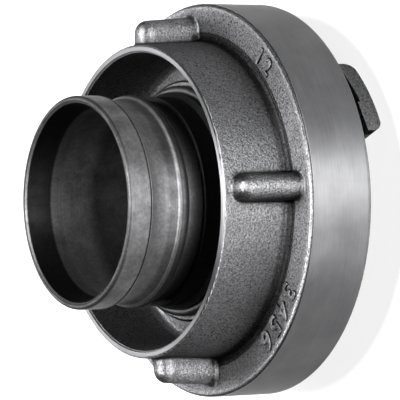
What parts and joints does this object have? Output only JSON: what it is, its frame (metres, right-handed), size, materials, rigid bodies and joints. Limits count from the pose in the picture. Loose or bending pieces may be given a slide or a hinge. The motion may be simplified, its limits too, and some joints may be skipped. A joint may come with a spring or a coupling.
{
  "type": "quarter turn fire hose coupling",
  "caption": "Symmetric claw coupling half for a fire hose: a locking ring with claws and spanner ribs that turns freely on a hose tail.",
  "frame": {"origin": "on the coupling's axis, in the plane of the two claw tips that it stands on", "axes": "+Z along the axis towards the hose end of the tail, +X through a spanner rib"},
  "size_m": [0.098, 0.098, 0.0648],
  "materials": {
    "cast_aluminium": "sand cast, with the rim turned",
    "turned_aluminium": "turned",
    "black_rubber": "smooth moulded",
    "spring_steel": "drawn wire"
  },
  "bodies": {
    "ring": {"locking_ring": "cast_aluminium"},
    "tail": {"hose_tail": "turned_aluminium", "seal_ring": "black_rubber", "snap_ring": "spring_steel"}
  },
  "joints": [
    {"name": "swivel", "type": "hinge", "parent": "ring", "child": "tail", "pos_m": [0, 0, 0.025], "axis": [0, 0, 1], "continuous": true}
  ]
}
